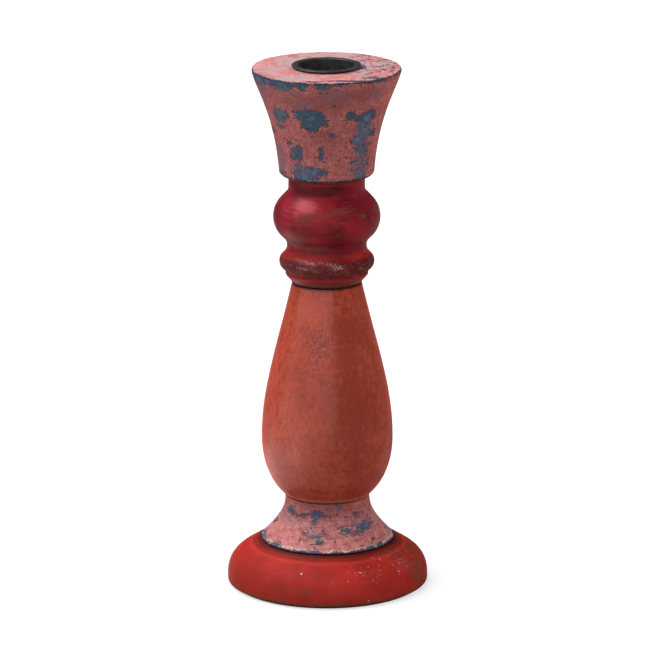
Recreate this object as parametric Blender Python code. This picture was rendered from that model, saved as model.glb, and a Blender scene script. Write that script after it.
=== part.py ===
"""A turned wooden candlestick with a lift-out steel socket for one dinner candle.

Five turned sections stand on one axis: a round base, a flared collar, a pear-shaped body, a knob and a
cup. A coach screw from below holds the base and the collar to the body, fluted dowels join the body, the
knob and the cup, and a felt pad covers the screw's head. The socket hangs in the cup's bore by its rim.

All lengths are in millimetres and become metres in the meshes. Heights are measured up from the table.
"""

import math

import bmesh
import bpy

MM = 0.001
GAP = 0.3  # clearance between faces that meet
SIDES = 40  # facets round each turned section
SMALL_SIDES = 20
THREAD_SIDES = 16

# Overall size, and the heights of the seams between the sections.
HEIGHT = 210.0
FELT_THICKNESS = 0.5
FELT_RADIUS = 37.6
BASE_BOTTOM = FELT_THICKNESS + GAP
BASE_TOP = 18.5
COLLAR_TOP = 36.5
BODY_TOP = 123.75
KNOB_TOP = 167.0

# Widest and narrowest radii of the sections.
BASE_RADIUS = 40.0
BASE_SEAT_RADIUS = 26.9
COLLAR_FOOT_RADIUS = 26.8
COLLAR_NECK_RADIUS = 16.85
BODY_RADIUS = 26.1
BODY_FOOT_RADIUS = 16.8
BODY_NECK_RADIUS = 13.9
KNOB_RADIUS = 21.25
KNOB_NECK_RADIUS = 15.2
CUP_FOOT_RADIUS = 18.85
CUP_RADIUS = 29.8
EDGE = 0.4  # bevel where a section ends in a flat face

# The socket: an open steel cup with a rolled rim that rests on the wood.
SOCKET_DEPTH = 25.0
SOCKET_WALL = 0.6
SOCKET_MOUTH_RADIUS = 11.0
SOCKET_FLOOR_RADIUS = 10.7
RIM_CENTRE_RADIUS = 12.35
RIM_HALF_WIDTH = RIM_CENTRE_RADIUS - SOCKET_MOUTH_RADIUS
RIM_HALF_HEIGHT = 0.5
RIM_Z = HEIGHT + GAP + RIM_HALF_HEIGHT
SOCKET_FLOOR_Z = RIM_Z - SOCKET_DEPTH
CUP_BORE_RADIUS = SOCKET_MOUTH_RADIUS + SOCKET_WALL + GAP
CUP_BORE_FLOOR = SOCKET_FLOOR_Z - SOCKET_WALL - GAP

# Dowels: how far each one reaches into the wood on either side of its seam.
DOWEL_RADIUS = 5.0
DOWEL_REACH = 12.5
DOWEL_HOLE_RADIUS = DOWEL_RADIUS + GAP

# The coach screw, its washer and the counterbore in the base that hides them.
SCREW_RADIUS = 3.0
SCREW_CORE_RADIUS = 2.2
SCREW_LENGTH = 50.0
THREAD_LENGTH = 28.0
THREAD_PITCH = 2.6
TIP_LENGTH = 3.5
HEAD_ACROSS_FLATS = 10.0
HEAD_HEIGHT = 4.0
WASHER_RADIUS = 8.0
WASHER_THICKNESS = 1.2
SCREW_HOLE_RADIUS = SCREW_RADIUS + GAP
COUNTERBORE_RADIUS = 9.0
COUNTERBORE_TOP = 8.7
WASHER_TOP = COUNTERBORE_TOP - GAP
HEAD_TOP = WASHER_TOP - WASHER_THICKNESS - GAP
PILOT_DEPTH = HEAD_TOP + SCREW_LENGTH + 2.0


def clear_scene():
    for obj in list(bpy.data.objects):
        bpy.data.objects.remove(obj)


def paint(name, colour, roughness, metallic=0.0):
    material = bpy.data.materials.new(name)
    material.use_nodes = True
    shader = material.node_tree.nodes["Principled BSDF"]
    shader.inputs["Base Color"].default_value = (*colour, 1.0)
    shader.inputs["Roughness"].default_value = roughness
    shader.inputs["Metallic"].default_value = metallic
    return material


# ---- outlines: lists of (radius, height) ----


def arc(centre, radius, start, end, steps, squash=1.0):
    """Points on a circle between two angles in degrees, both ends included. Squash scales its height."""
    points = []
    for i in range(steps + 1):
        angle = math.radians(start + (end - start) * i / steps)
        across = radius * math.cos(angle)
        up = radius * math.sin(angle) * squash
        points.append((centre[0] + across, centre[1] + up))
    return points


def sweep(start, start_handle, end_handle, end, steps):
    """Points on a cubic Bezier curve, both ends included."""
    points = []
    for i in range(steps + 1):
        t = i / steps
        weights = ((1 - t) ** 3, 3 * (1 - t) ** 2 * t, 3 * (1 - t) * t**2, t**3)
        corners = (start, start_handle, end_handle, end)
        points.append(tuple(sum(w * c[axis] for w, c in zip(weights, corners)) for axis in (0, 1)))
    return points


def blind_hole(radius, mouth, floor):
    """A hole's outline from its mouth in to the axis."""
    return [(radius, mouth), (radius, floor), (0.0, floor)]


# ---- solids ----


def finish(name, bm, material):
    """Turns a bmesh into an object, with flat faces kept crisp."""
    bmesh.ops.remove_doubles(bm, verts=bm.verts, dist=1e-6)
    bmesh.ops.recalc_face_normals(bm, faces=bm.faces)
    mesh = bpy.data.meshes.new(name)
    bm.to_mesh(mesh)
    bm.free()
    mesh.shade_smooth()
    mesh.set_sharp_from_angle(angle=math.radians(35))
    mesh.materials.append(material)
    obj = bpy.data.objects.new(name, mesh)
    bpy.context.scene.collection.objects.link(obj)
    return obj


def turn(name, outline, material, ring=False, sides=SIDES):
    """Spins an outline round the axis. A ring's outline closes on itself, and any other ends on the axis."""
    bm = bmesh.new()
    verts = [bm.verts.new((radius * MM, 0.0, z * MM)) for radius, z in outline]
    pairs = list(zip(verts, verts[1:]))
    if ring:
        pairs.append((verts[-1], verts[0]))
    edges = [bm.edges.new(pair) for pair in pairs]
    bmesh.ops.spin(
        bm,
        geom=verts + edges,
        axis=(0, 0, 1),
        cent=(0, 0, 0),
        angle=math.tau,
        steps=sides,
        use_merge=True,
    )
    return finish(name, bm, material)


def stack(name, rings, sides, material):
    """Skins a pile of rings, each a height and a radius that may depend on the angle, and caps both ends."""
    bm = bmesh.new()
    loops = []
    for z, radius_at in rings:
        loop = []
        for i in range(sides):
            angle = math.tau * i / sides
            radius = radius_at(angle) * MM
            loop.append(bm.verts.new((radius * math.cos(angle), radius * math.sin(angle), z * MM)))
        loops.append(loop)
    for low, high in zip(loops, loops[1:]):
        for i in range(sides):
            j = (i + 1) % sides
            bm.faces.new((low[i], low[j], high[j], high[i]))
    bm.faces.new(loops[0])
    bm.faces.new(loops[-1])
    return finish(name, bm, material)


# ---- the wooden sections, from the table up ----


def make_felt_pad(material):
    outline = [(0.0, 0.0), (FELT_RADIUS, 0.0), (FELT_RADIUS, FELT_THICKNESS), (0.0, FELT_THICKNESS)]
    turn("felt_pad", outline, material)


def make_base(material):
    """A low dome with a flat seat for the collar, bored for the screw and counterbored for its head."""
    foot_round = 1.2
    belly_z = 3.5
    outline = [(SCREW_HOLE_RADIUS, BASE_TOP)]
    outline += sweep(
        (BASE_SEAT_RADIUS, BASE_TOP),
        (BASE_SEAT_RADIUS + 7.2, BASE_TOP - 4.7),
        (BASE_RADIUS, belly_z + 9.1),
        (BASE_RADIUS, belly_z),
        12,
    )
    foot_centre = (BASE_RADIUS - foot_round, BASE_BOTTOM + foot_round)
    outline += arc(foot_centre, foot_round, 0, -90, 4)
    outline += [
        (COUNTERBORE_RADIUS, BASE_BOTTOM),
        (COUNTERBORE_RADIUS, COUNTERBORE_TOP),
        (SCREW_HOLE_RADIUS, COUNTERBORE_TOP),
    ]
    turn("round_base", outline, material, ring=True)


def make_collar(material):
    """A trumpet flare that ends in a thin lip on the base."""
    bottom = BASE_TOP + GAP
    lip = 0.2
    outline = [(SCREW_HOLE_RADIUS, COLLAR_TOP), (COLLAR_NECK_RADIUS - EDGE, COLLAR_TOP)]
    outline += sweep(
        (COLLAR_NECK_RADIUS, COLLAR_TOP - EDGE),
        (COLLAR_NECK_RADIUS, COLLAR_TOP - 4.1),
        (COLLAR_NECK_RADIUS + 0.35, bottom + 9.8),
        (COLLAR_FOOT_RADIUS - 0.8, bottom + 0.8),
        10,
    )
    outline += [
        (COLLAR_FOOT_RADIUS, bottom + lip),
        (COLLAR_FOOT_RADIUS, bottom),
        (SCREW_HOLE_RADIUS, bottom),
    ]
    turn("flared_collar", outline, material, ring=True)


def make_body(material):
    """The pear: a long straight taper that swells to a low belly and tucks in sharply to its foot."""
    bottom = COLLAR_TOP + GAP
    belly_z = 60.4
    taper = 0.2255  # radius gained for each millimetre down from the neck
    neck_handle = 27.85
    outline = [(0.0, BODY_TOP - DOWEL_REACH - 1.0)]
    outline += [(DOWEL_HOLE_RADIUS, BODY_TOP - DOWEL_REACH - 1.0), (DOWEL_HOLE_RADIUS, BODY_TOP)]
    outline += [(BODY_NECK_RADIUS - EDGE, BODY_TOP)]
    outline += sweep(
        (BODY_NECK_RADIUS, BODY_TOP - EDGE),
        (BODY_NECK_RADIUS + taper * neck_handle, BODY_TOP - neck_handle),
        (BODY_RADIUS, belly_z + 19.65),
        (BODY_RADIUS, belly_z),
        11,
    )
    outline += sweep(
        (BODY_RADIUS, belly_z),
        (BODY_RADIUS, belly_z - 15.85),
        (BODY_FOOT_RADIUS + 1.4, bottom + 1.3),
        (BODY_FOOT_RADIUS, bottom),
        10,
    )[1:]
    outline += blind_hole(SCREW_HOLE_RADIUS, bottom, PILOT_DEPTH)
    turn("pear_body", outline, material)


def make_knob(material):
    """A bulb over a smaller ring, as three arcs that touch: bulb, cove and ring. Under them is a bead."""
    bottom = BODY_TOP + GAP
    bulb_radius = 10.5
    bulb = (KNOB_RADIUS - bulb_radius, 150.25)
    ring_radius = 3.64
    ring = (15.18, 132.2)
    cove_waist = 15.78
    cove_z = 138.6
    # The cove touches the bulb from outside, which settles its radius.
    across = cove_waist - bulb[0]
    down = bulb[1] - cove_z
    cove_radius = (bulb_radius**2 - across**2 - down**2) / (2 * (across - bulb_radius))
    cove = (cove_waist + cove_radius, cove_z)
    bulb_to_cove = math.degrees(math.atan2(cove[1] - bulb[1], cove[0] - bulb[0]))
    ring_to_cove = math.degrees(math.atan2(cove[1] - ring[1], cove[0] - ring[0]))
    # The neck meets the bulb in a smaller cove, tangent to the bulb where the bulb has turned this far.
    shoulder = math.radians(43)
    throat_radius = 2.5
    shoulder_point = (
        bulb[0] + bulb_radius * math.cos(shoulder),
        bulb[1] + bulb_radius * math.sin(shoulder),
    )
    throat_r = KNOB_NECK_RADIUS + throat_radius
    reach = throat_radius - (throat_r - shoulder_point[0]) * math.cos(shoulder)
    throat = (throat_r, shoulder_point[1] + reach / math.sin(shoulder))
    fillet_radius = 16.43
    ring_end = -math.degrees(math.acos((fillet_radius - ring[0]) / ring_radius))
    bead_z = 126.95

    outline = [(0.0, KNOB_TOP - DOWEL_REACH - 1.0)]
    outline += [(DOWEL_HOLE_RADIUS, KNOB_TOP - DOWEL_REACH - 1.0), (DOWEL_HOLE_RADIUS, KNOB_TOP)]
    outline += [(KNOB_NECK_RADIUS - EDGE, KNOB_TOP), (KNOB_NECK_RADIUS, KNOB_TOP - EDGE)]
    outline += arc(throat, throat_radius, 180, 180 + math.degrees(shoulder), 3)
    outline += arc(bulb, bulb_radius, math.degrees(shoulder), bulb_to_cove, 9)
    outline += arc(cove, cove_radius, 180 + bulb_to_cove, 180 + ring_to_cove, 5)[1:]
    outline += arc(ring, ring_radius, ring_to_cove, ring_end, 7)[1:]
    outline += [(fillet_radius, bead_z), (BODY_NECK_RADIUS + 0.4, bottom + 0.5)]
    outline += [(BODY_NECK_RADIUS + 0.3, bottom)]
    outline += blind_hole(DOWEL_HOLE_RADIUS, bottom, bottom + DOWEL_REACH + 1.0)
    turn("turned_knob", outline, material)


def make_cup(material):
    """A flared cup, bored from above for the socket and from below for a dowel."""
    bottom = KNOB_TOP + GAP
    foot_round = 1.3
    outline = [(0.0, CUP_BORE_FLOOR), (CUP_BORE_RADIUS, CUP_BORE_FLOOR), (CUP_BORE_RADIUS, HEIGHT)]
    outline += [(CUP_RADIUS - EDGE, HEIGHT)]
    outline += sweep(
        (CUP_RADIUS, HEIGHT - EDGE),
        (CUP_RADIUS - 2.6, HEIGHT - 9.85),
        (CUP_FOOT_RADIUS + 1.75, bottom + 24.05),
        (CUP_FOOT_RADIUS, bottom + foot_round),
        10,
    )
    foot_centre = (CUP_FOOT_RADIUS - foot_round, bottom + foot_round)
    outline += arc(foot_centre, foot_round, 0, -90, 4)[1:]
    outline += blind_hole(DOWEL_HOLE_RADIUS, bottom, bottom + DOWEL_REACH + 1.0)
    turn("flared_cup", outline, material)


# ---- what joins them ----


def make_dowel(name, seam, material):
    """A fluted hardwood pin with bevelled ends, centred on a seam."""
    bevel = 1.0
    flute = 0.3
    low = seam - DOWEL_REACH
    high = seam + DOWEL_REACH

    def plain(_angle):
        return DOWEL_RADIUS - bevel

    def fluted(angle):
        return DOWEL_RADIUS - flute * (round(angle / math.tau * SMALL_SIDES) % 2)

    rings = [(low, plain), (low + bevel, fluted), (high - bevel, fluted), (high, plain)]
    stack(name, rings, SMALL_SIDES, material)


def make_screw(material):
    """A hexagon-head coach screw, point up, whose thread is one helical ridge."""
    tip = HEAD_TOP + SCREW_LENGTH
    thread_end = tip - TIP_LENGTH
    thread_start = tip - THREAD_LENGTH
    head_bevel = 0.5

    def round_of(radius):
        return lambda _angle: radius

    def hexagon(angle):
        from_flat = (angle % (math.tau / 6)) - math.tau / 12
        return HEAD_ACROSS_FLATS / 2 / math.cos(from_flat)

    def thread_at(z, shrink=1.0):
        def radius_at(angle):
            phase = ((z - thread_start) / THREAD_PITCH - angle / math.tau) % 1.0
            ridge = max(0.0, 1.0 - 3.0 * abs(phase - 0.5))
            return shrink * (SCREW_CORE_RADIUS + (SCREW_RADIUS - SCREW_CORE_RADIUS) * ridge)

        return radius_at

    rings = [
        (HEAD_TOP - HEAD_HEIGHT, round_of(HEAD_ACROSS_FLATS / 2 - head_bevel)),
        (HEAD_TOP - HEAD_HEIGHT + head_bevel, hexagon),
        (HEAD_TOP, hexagon),
        (HEAD_TOP, round_of(SCREW_RADIUS)),
        (thread_start - 1.0, round_of(SCREW_RADIUS)),
    ]
    steps = round((thread_end - thread_start) / THREAD_PITCH * 4)
    for i in range(steps + 1):
        z = thread_start + (thread_end - thread_start) * i / steps
        rings.append((z, thread_at(z)))
    rings.append((tip - TIP_LENGTH / 2, thread_at(tip - TIP_LENGTH / 2, shrink=0.5)))
    rings.append((tip, round_of(0.2)))
    stack("coach_screw", rings, THREAD_SIDES, material)


def make_washer(material):
    bottom = WASHER_TOP - WASHER_THICKNESS
    corners = [
        (SCREW_HOLE_RADIUS, bottom),
        (WASHER_RADIUS, bottom),
        (WASHER_RADIUS, WASHER_TOP),
        (SCREW_HOLE_RADIUS, WASHER_TOP),
    ]
    turn("screw_washer", corners, material, ring=True, sides=SMALL_SIDES)


def make_socket(material):
    """A drawn steel cup with a slight taper, a rounded floor edge and a rolled rim."""
    floor_round = 0.8
    outline = [(0.0, SOCKET_FLOOR_Z)]
    inner_corner = (SOCKET_FLOOR_RADIUS - floor_round, SOCKET_FLOOR_Z + floor_round)
    outline += arc(inner_corner, floor_round, -90, 0, 2)
    rim_squash = RIM_HALF_HEIGHT / RIM_HALF_WIDTH
    outline += arc((RIM_CENTRE_RADIUS, RIM_Z), RIM_HALF_WIDTH, 180, -90, 9, squash=rim_squash)
    outer_floor = SOCKET_FLOOR_Z - SOCKET_WALL
    outer_round = floor_round + SOCKET_WALL
    outer_corner = (SOCKET_FLOOR_RADIUS + SOCKET_WALL - outer_round, outer_floor + outer_round)
    outline += [(SOCKET_MOUTH_RADIUS + SOCKET_WALL, RIM_Z - RIM_HALF_HEIGHT)]
    outline += arc(outer_corner, outer_round, 0, -90, 2)
    outline += [(0.0, outer_floor)]
    turn("candle_socket", outline, material)


def main():
    clear_scene()
    red = paint("base_red", (0.42, 0.035, 0.02), 0.55)
    pink = paint("pink_over_blue", (0.36, 0.12, 0.12), 0.6)
    terracotta = paint("terracotta_stain", (0.36, 0.07, 0.045), 0.5)
    crimson = paint("crimson_lacquer", (0.26, 0.015, 0.025), 0.3)
    beech = paint("beech", (0.6, 0.4, 0.22), 0.6)
    zinc = paint("zinc_steel", (0.55, 0.55, 0.53), 0.35, 1.0)
    black = paint("black_steel", (0.02, 0.02, 0.02), 0.4)
    felt = paint("felt", (0.03, 0.03, 0.03), 0.95)

    make_felt_pad(felt)
    make_base(red)
    make_collar(pink)
    make_body(terracotta)
    make_knob(crimson)
    make_cup(pink)
    make_dowel("knob_dowel", BODY_TOP + GAP / 2, beech)
    make_dowel("cup_dowel", KNOB_TOP + GAP / 2, beech)
    make_screw(zinc)
    make_washer(zinc)
    make_socket(black)


main()
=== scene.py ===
"""How the candlestick looks: worn paint over an older coat, stained wood, black steel and felt.

Each turned section is skinned again from its CAD outline, finely enough that chips, pores and tool marks
are real relief. The fields that shape the relief are stored on the mesh, and colour the paint as well.

Sizes in this script are millimetres until a mesh, a light or the camera is made. Angles are degrees round
the axis, from 0 at the front, and positive to the right as the viewer sees it.
"""

import itertools
import math
from types import SimpleNamespace

import bpy
import numpy as np
from mathutils import Euler, Matrix, Vector


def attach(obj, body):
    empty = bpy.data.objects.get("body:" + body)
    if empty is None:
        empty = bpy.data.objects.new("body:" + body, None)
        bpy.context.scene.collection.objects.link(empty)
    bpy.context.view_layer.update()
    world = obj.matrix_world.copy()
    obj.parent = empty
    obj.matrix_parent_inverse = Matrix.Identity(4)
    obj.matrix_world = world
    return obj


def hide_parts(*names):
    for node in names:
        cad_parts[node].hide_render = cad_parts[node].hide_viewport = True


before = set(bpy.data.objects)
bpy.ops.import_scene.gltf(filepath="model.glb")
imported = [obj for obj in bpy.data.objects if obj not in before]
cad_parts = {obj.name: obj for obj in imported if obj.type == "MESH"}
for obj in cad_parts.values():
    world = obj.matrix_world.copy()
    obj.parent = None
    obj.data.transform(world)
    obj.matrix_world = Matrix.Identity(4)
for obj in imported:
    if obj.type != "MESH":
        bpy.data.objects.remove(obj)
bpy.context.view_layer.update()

MM = 0.001
TOUCHING = 1e-6  # metres; a CAD vertex this close to a plane lies in it


# ---- fields: a number at every point of a skin ----


SEED_FACTOR, MIX_FACTOR = 2654435761, 2246822519  # large odd numbers, which scatter the bits
AXIS_FACTORS = (73856093, 19349663, 83492791)
LOW_BITS = 0xFFFFFF
RISE_SEED = 101  # keeps the rise of a slope apart from its turn
NOISE_GAIN = 1.6  # brings the range out to about -1 to 1


def hashed(cells, seed):
    """A fixed number from 0 to 1 for each whole-number cell."""
    mixed = np.full(cells.shape[:-1], seed * SEED_FACTOR % 2**32, np.uint32)
    for axis, factor in enumerate(AXIS_FACTORS):
        mixed ^= cells[..., axis].astype(np.int64).astype(np.uint32) * np.uint32(factor)
        mixed ^= mixed >> np.uint32(15)
        mixed *= np.uint32(MIX_FACTOR)
        mixed ^= mixed >> np.uint32(13)
    return (mixed & np.uint32(LOW_BITS)) / float(LOW_BITS)


def gradient_noise(points, seed):
    """Smooth noise from about -1 to 1, with features one unit across."""
    cells = np.floor(points)
    inside = points - cells
    fade = inside**3 * (inside * (inside * 6 - 15) + 10)
    total = np.zeros(len(points))
    for corner in itertools.product((0, 1), repeat=3):
        offset = np.array(corner)
        turn = hashed(cells + offset, seed) * math.tau
        rise = hashed(cells + offset, seed + RISE_SEED) * 2 - 1
        flat = np.sqrt(1 - rise**2)
        slope = np.stack([flat * np.cos(turn), flat * np.sin(turn), rise], axis=1)
        weight = np.prod(np.where(offset, fade, 1 - fade), axis=1)
        total += weight * np.sum(slope * (inside - offset), axis=1)
    return total * NOISE_GAIN


def fractal(skin, size, seed, octaves=4, stretch=(1, 1, 1), rough=0.5):
    """Layered noise, mostly between -1 and 1, whose largest features are this many millimetres across."""
    points = skin.points / (size * np.array(stretch))
    total = np.zeros(len(points))
    for octave in range(octaves):
        total += gradient_noise(points * 2**octave, seed + octave) * rough**octave
    return total


def smooth_step(value, low, high):
    share = np.clip((value - low) / (high - low), 0, 1)
    return share * share * (3 - 2 * share)


def between(value, start, full, fading, end):
    """Rises softly from 0 to 1 over the first two numbers, and falls back over the last two."""
    return smooth_step(value, start, full) * (1 - smooth_step(value, fading, end))


def bell(value, centre, width):
    """1 at the centre, and next to nothing at twice the width from it."""
    return np.exp(-(((value - centre) / width) ** 2))


def turned(angle, centre):
    """Degrees from one angle to another, the short way round."""
    return (angle - centre + 180) % 360 - 180


FAR_OUTSIDE = -9.0


def spots(skin, places):
    """How far each point is inside the nearest of several ovals, in millimetres. Outside it is below 0.

    A place is an angle, a height above the table, half a width and half a height.
    """
    inside = np.full(len(skin.angle), FAR_OUTSIDE)
    for angle, height, half_width, half_height in places:
        across = np.radians(turned(skin.angle, angle)) * skin.radius
        reach = np.hypot(across / half_width, (skin.height - height) / half_height)
        inside = np.maximum(inside, (1 - reach) * min(half_width, half_height))
    return inside


def scattered(seed, count, angles, heights, widths, squat):
    """Random ovals for spots(), between two limits each. Squat is the height of an oval over its width."""
    rng = np.random.default_rng(seed)
    places = []
    for _ in range(count):
        half_width = rng.uniform(*widths)
        half_height = half_width * rng.uniform(*squat)
        places.append((rng.uniform(*angles), rng.uniform(*heights), half_width, half_height))
    return places


# ---- outlines, from the CAD nodes ----


def cad_outline(node):
    """The node's outline at its front meridian, in order, as (radius, height) in millimetres."""
    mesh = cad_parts[node].data
    places = []
    for vertex in mesh.vertices:
        x, y, z = vertex.co
        on_meridian = abs(y) < TOUCHING and x > -TOUCHING
        places.append((round(x / MM, 4), round(z / MM, 4)) if on_meridian else None)
    links = {}
    for edge in mesh.edges:
        a, b = (places[i] for i in edge.vertices)
        if a is None or b is None or a == b:
            continue
        links.setdefault(a, set()).add(b)
        links.setdefault(b, set()).add(a)
    ends = sorted(place for place, near in links.items() if len(near) == 1)
    closed = not ends
    path = [ends[-1] if ends else max(links)]
    while True:
        passed = path[:1] + path[-2:]
        ahead = [place for place in links[path[-1]] if place not in passed]
        if not ahead:
            break
        path.append(max(ahead))
    if not closed:
        path = [(0.0, path[0][1]), *path, (0.0, path[-1][1])]
    # The outline runs down its outer side, so that the outside is always on the same hand.
    points = np.array(path)
    after = np.roll(points, -1, axis=0)
    area = np.sum(points[:, 0] * after[:, 1] - after[:, 0] * points[:, 1]) / 2
    if area > 0:
        points = points[::-1]
    return points, closed


def rounded_outline(points, closed, corner=28.0, round_off=0.22):
    """The outline as a fine smooth line. A turn sharper than corner degrees stays, rounded off a little."""
    step = 0.08  # between points of the fine line
    straight_ratio = 2.2  # an edge this many times as long as the next is a straight stretch, and stays one
    count = len(points)
    ahead = np.roll(points, -1, axis=0) - points
    lengths = np.hypot(*ahead.T)
    slopes = ahead / np.maximum(lengths, 1e-9)[:, None]
    line = []
    for i in range(count if closed else count - 1):
        tangents = []
        for j in (i, (i + 1) % count):
            before, after = slopes[j - 1], slopes[j]
            turn = math.degrees(math.acos(np.clip(before @ after, -1, 1)))
            at_end = not closed and j in (0, count - 1)
            if turn > corner or at_end:
                tangents.append(slopes[i])
                continue
            blended = before * lengths[j] + after * lengths[j - 1]
            shorter, longer = sorted((lengths[j], lengths[j - 1]))
            if longer > straight_ratio * shorter:
                blended = after if lengths[j] == longer else before
            tangents.append(blended / np.hypot(*blended))
        pieces = max(2, round(lengths[i] / step))
        t = (np.arange(pieces) / pieces)[:, None]
        start, end = points[i], points[(i + 1) % count]
        line.append(
            (2 * t**3 - 3 * t**2 + 1) * start
            + (t**3 - 2 * t**2 + t) * tangents[0] * lengths[i]
            + (3 * t**2 - 2 * t**3) * end
            + (t**3 - t**2) * tangents[1] * lengths[i]
        )
    line = np.concatenate(line + ([] if closed else [points[-1:]]))
    reach = math.ceil(3 * round_off / step)
    weights = np.exp(-0.5 * (np.arange(-reach, reach + 1) * step / round_off) ** 2)
    weights /= weights.sum()
    if closed:
        padded = np.concatenate([line[-reach:], line, line[:reach]])
    else:
        padded = np.pad(line, ((reach, reach), (0, 0)), mode="reflect", reflect_type="odd")
    return np.stack([np.convolve(padded[:, axis], weights, "valid") for axis in (0, 1)], axis=1)


def spaced(line, closed, fine, coarse, hidden_radius):
    """Picks points from a fine line: close together where it shows or turns, and further apart in a bore."""
    bend_step = math.radians(10)  # a bend gets a point for every such turn
    loop = np.concatenate([line, line[:1]]) if closed else line
    ahead = np.diff(loop, axis=0)
    lengths = np.hypot(*ahead.T)
    heading = np.unwrap(np.arctan2(ahead[:, 1], ahead[:, 0]))
    bend = np.abs(np.gradient(heading))
    spacing = np.where(loop[:-1, 0] > hidden_radius, fine, coarse)
    travelled = np.concatenate([[0], np.cumsum(lengths / spacing + bend / bend_step)])
    count = round(travelled[-1])
    stops = np.linspace(0, travelled[-1], count, endpoint=not closed)
    return np.stack([np.interp(stops, travelled, loop[:, axis]) for axis in (0, 1)], axis=1)


# ---- skins: an outline spun round the axis, with relief ----


def spin(outline, closed, sides):
    """Every point of a turned skin, with what the fields need to know about it."""
    if not closed:
        outline = outline[1:-1]  # the ends on the axis become one point each, in close_skin()
    before, after = np.roll(outline, 1, axis=0), np.roll(outline, -1, axis=0)
    if not closed:
        before[0], after[-1] = outline[0], outline[-1]
    along = after - before
    normal = np.stack([-along[:, 1], along[:, 0]], axis=1) / np.hypot(*along.T)[:, None]
    angle = np.arange(sides) * 360 / sides - 180
    rings = len(outline)
    radius = np.repeat(outline[:, 0], sides)
    height = np.repeat(outline[:, 1], sides)
    angle = np.tile(angle, rings)
    sine, cosine = np.sin(np.radians(angle)), np.cos(np.radians(angle))
    out = np.repeat(normal, sides, axis=0)
    return SimpleNamespace(
        rings=rings,
        sides=sides,
        closed=closed,
        angle=angle,
        radius=radius,
        height=height,
        points=np.stack([radius * sine, -radius * cosine, height], axis=1),
        normal=np.stack([out[:, 0] * sine, -out[:, 0] * cosine, out[:, 1]], axis=1),
        facing_up=out[:, 1],
    )


def skin_faces(skin):
    """Quads between neighbouring rings, and a fan at each end of an outline that ends on the axis."""
    ring = np.arange(skin.rings if skin.closed else skin.rings - 1)[:, None]
    side = np.arange(skin.sides)[None, :]
    here, there = ring * skin.sides, (ring + 1) % skin.rings * skin.sides
    beside = (side + 1) % skin.sides
    quads = np.stack([here + side, there + side, there + beside, here + beside], axis=-1)
    faces = quads.reshape(-1, 4).tolist()
    if not skin.closed:
        first, last = skin.rings * skin.sides, skin.rings * skin.sides + 1
        final = (skin.rings - 1) * skin.sides
        for i in range(skin.sides):
            j = (i + 1) % skin.sides
            faces.append((first, i, j))
            faces.append((last, final + j, final + i))
    return faces


def make_piece(
    name, node, body, slot, material, dress, sides=384, fine=0.45, coarse=1.6, hidden_radius=0.0, **rounding
):
    """Skins one CAD node again. Dress gives its relief in millimetres outwards, and its named fields.

    Points are fine millimetres apart outside the hidden radius, and coarse millimetres apart inside it,
    where the skin has no relief.
    """
    points, closed = cad_outline(node)
    outline = spaced(rounded_outline(points, closed, **rounding), closed, fine, coarse, hidden_radius)
    skin = spin(outline, closed, sides)
    relief, fields = dress(skin)
    shown = smooth_step(skin.radius, hidden_radius, hidden_radius + 1.0)
    vertices = skin.points + skin.normal * (relief * shown)[:, None]
    if not closed:
        top, bottom = outline[0, 1], outline[-1, 1]
        vertices = np.concatenate([vertices, [(0, 0, top), (0, 0, bottom)]])
        fields = {key: np.append(values, [0, 0]) for key, values in fields.items()}
    mesh = bpy.data.meshes.new(name)
    mesh.from_pydata((vertices * MM).tolist(), [], skin_faces(skin))
    for key, values in fields.items():
        mesh.attributes.new(key, "FLOAT", "POINT").data.foreach_set("value", values.astype(np.float32))
    mesh.shade_smooth()
    mesh.materials.append(material)
    piece = bpy.data.objects.new(name, mesh)
    bpy.context.scene.collection.objects.link(piece)
    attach(piece, body)
    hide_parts(node)
    return piece


# ---- materials ----


SEED_SHIFT = (7.3, 3.1, 5.7)  # features by which one seed moves the noise


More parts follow.
